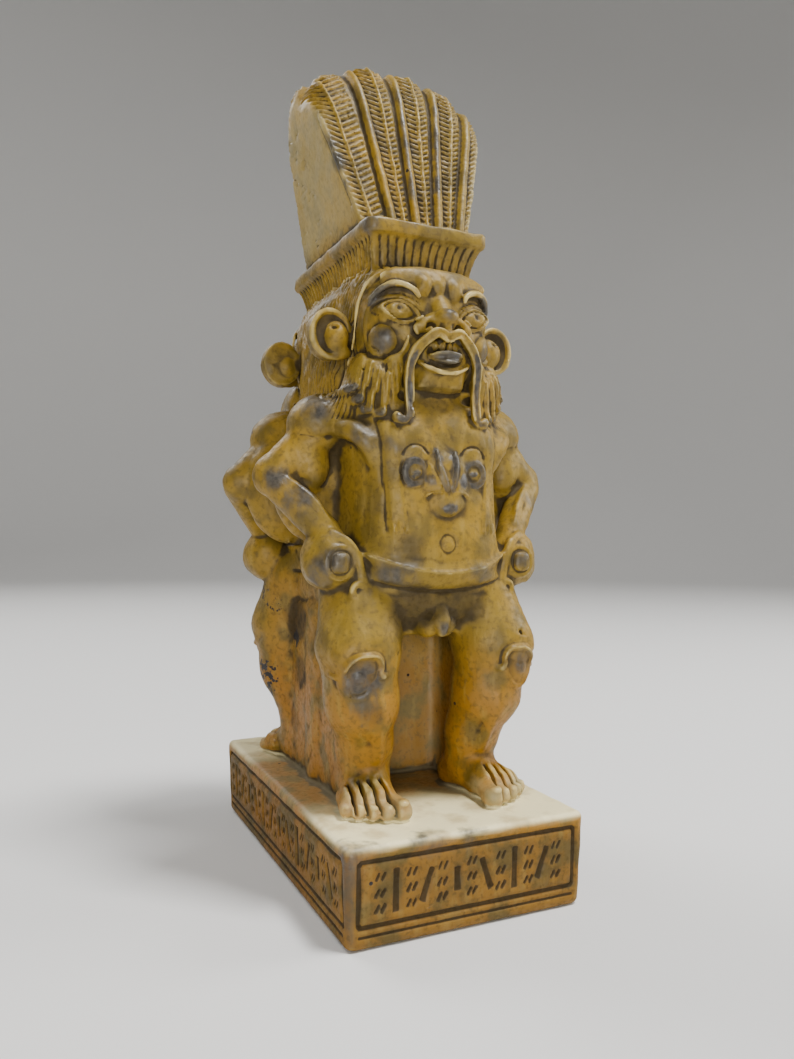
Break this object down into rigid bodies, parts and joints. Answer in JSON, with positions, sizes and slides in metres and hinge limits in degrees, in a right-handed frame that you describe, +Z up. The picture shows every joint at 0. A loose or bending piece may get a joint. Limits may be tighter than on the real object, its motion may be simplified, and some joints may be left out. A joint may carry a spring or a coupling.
{
  "type": "bes figure",
  "caption": "Cast stone statuette of the dwarf god Bes: two mask-faced figures back to back on a plinth, hands on hips, under one tall feather crown.",
  "frame": {"origin": "middle of the plinth's underside", "axes": "+Z up, -Y is the way the front figure faces, +X is the front figure's left"},
  "size_m": [0.0792, 0.1002, 0.209],
  "materials": {
    "body": "satin ochre patina over dark grey stone"
  },
  "bodies": {
    "root": {"bes_figure": "body"}
  },
  "joints": []
}
